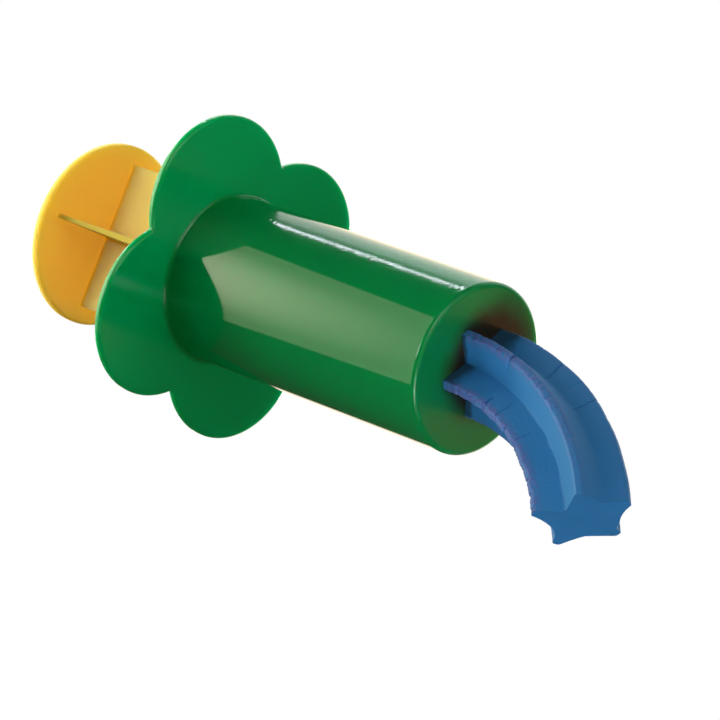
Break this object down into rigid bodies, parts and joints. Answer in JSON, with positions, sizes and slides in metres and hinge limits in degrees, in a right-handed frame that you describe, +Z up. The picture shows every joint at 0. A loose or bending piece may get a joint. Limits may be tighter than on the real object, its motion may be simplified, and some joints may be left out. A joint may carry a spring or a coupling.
{
  "type": "modelling clay extruder",
  "caption": "Hand-pushed clay extruder: flanged barrel with a star-shaped nozzle hole, a ribbed thumb plunger and the clay it presses out.",
  "frame": {"origin": "on the barrel's axis, halfway between the flange's front face and the nozzle's face, in the middle of the grip", "axes": "+X along the barrel towards the nozzle, +Z up as the tool is held level, so that the pressed-out clay bends down in the XZ plane"},
  "size_m": [0.1816, 0.0724, 0.0724],
  "materials": {
    "green_plastic": "glossy injection-moulded polystyrene, green",
    "yellow_plastic": "satin injection-moulded polypropylene, yellow",
    "blue_clay": "matte blue modelling clay with torn ridges"
  },
  "bodies": {
    "barrel": {"barrel": "green_plastic", "clay_charge": "blue_clay", "clay_strand": "blue_clay"},
    "plunger": {"plunger": "yellow_plastic"}
  },
  "joints": [
    {"name": "plunger_slide", "type": "slide", "parent": "barrel", "child": "plunger", "axis": [1, 0, 0], "range_m": [-0.036, 0.0396], "deforming": ["clay_charge"]}
  ]
}
